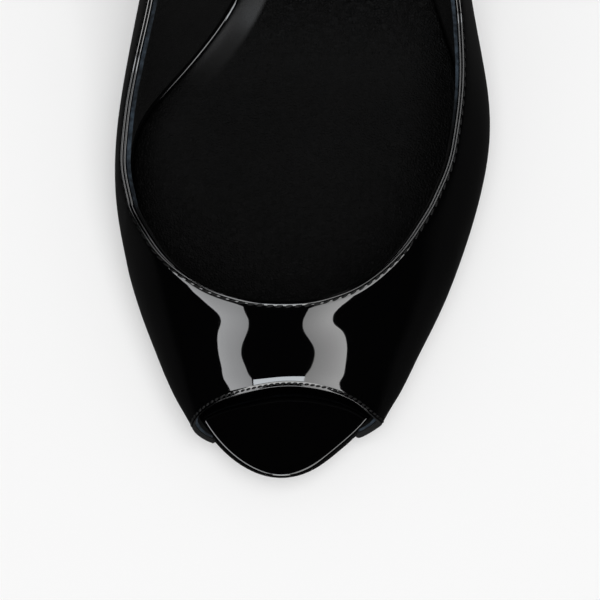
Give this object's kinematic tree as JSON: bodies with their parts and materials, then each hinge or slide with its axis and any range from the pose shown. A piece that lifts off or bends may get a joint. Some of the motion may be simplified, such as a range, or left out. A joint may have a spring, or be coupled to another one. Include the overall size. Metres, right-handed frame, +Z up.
{
  "type": "heeled sandal",
  "caption": "Black patent leather peep-toe sandal with an open throat, a plain back strap and a slim heel, standing empty on its sole.",
  "frame": {"origin": "on the floor, under the middle of the shoe's box", "axes": "+Y towards the heel (toe at -Y), +X towards the outer side of a left foot, +Z up"},
  "size_m": [0.0834, 0.227, 0.1338],
  "materials": {
    "patent": "mirror-gloss black patent",
    "insole": "matt fine-grained black",
    "outsole": "smooth satin black",
    "heel_cover": "mirror-gloss black patent",
    "top_piece": "matt black"
  },
  "bodies": {
    "root": {"upper": "patent", "insole": "insole", "outsole": "outsole", "heel": "heel_cover", "heel_top_piece": "top_piece"}
  },
  "joints": []
}
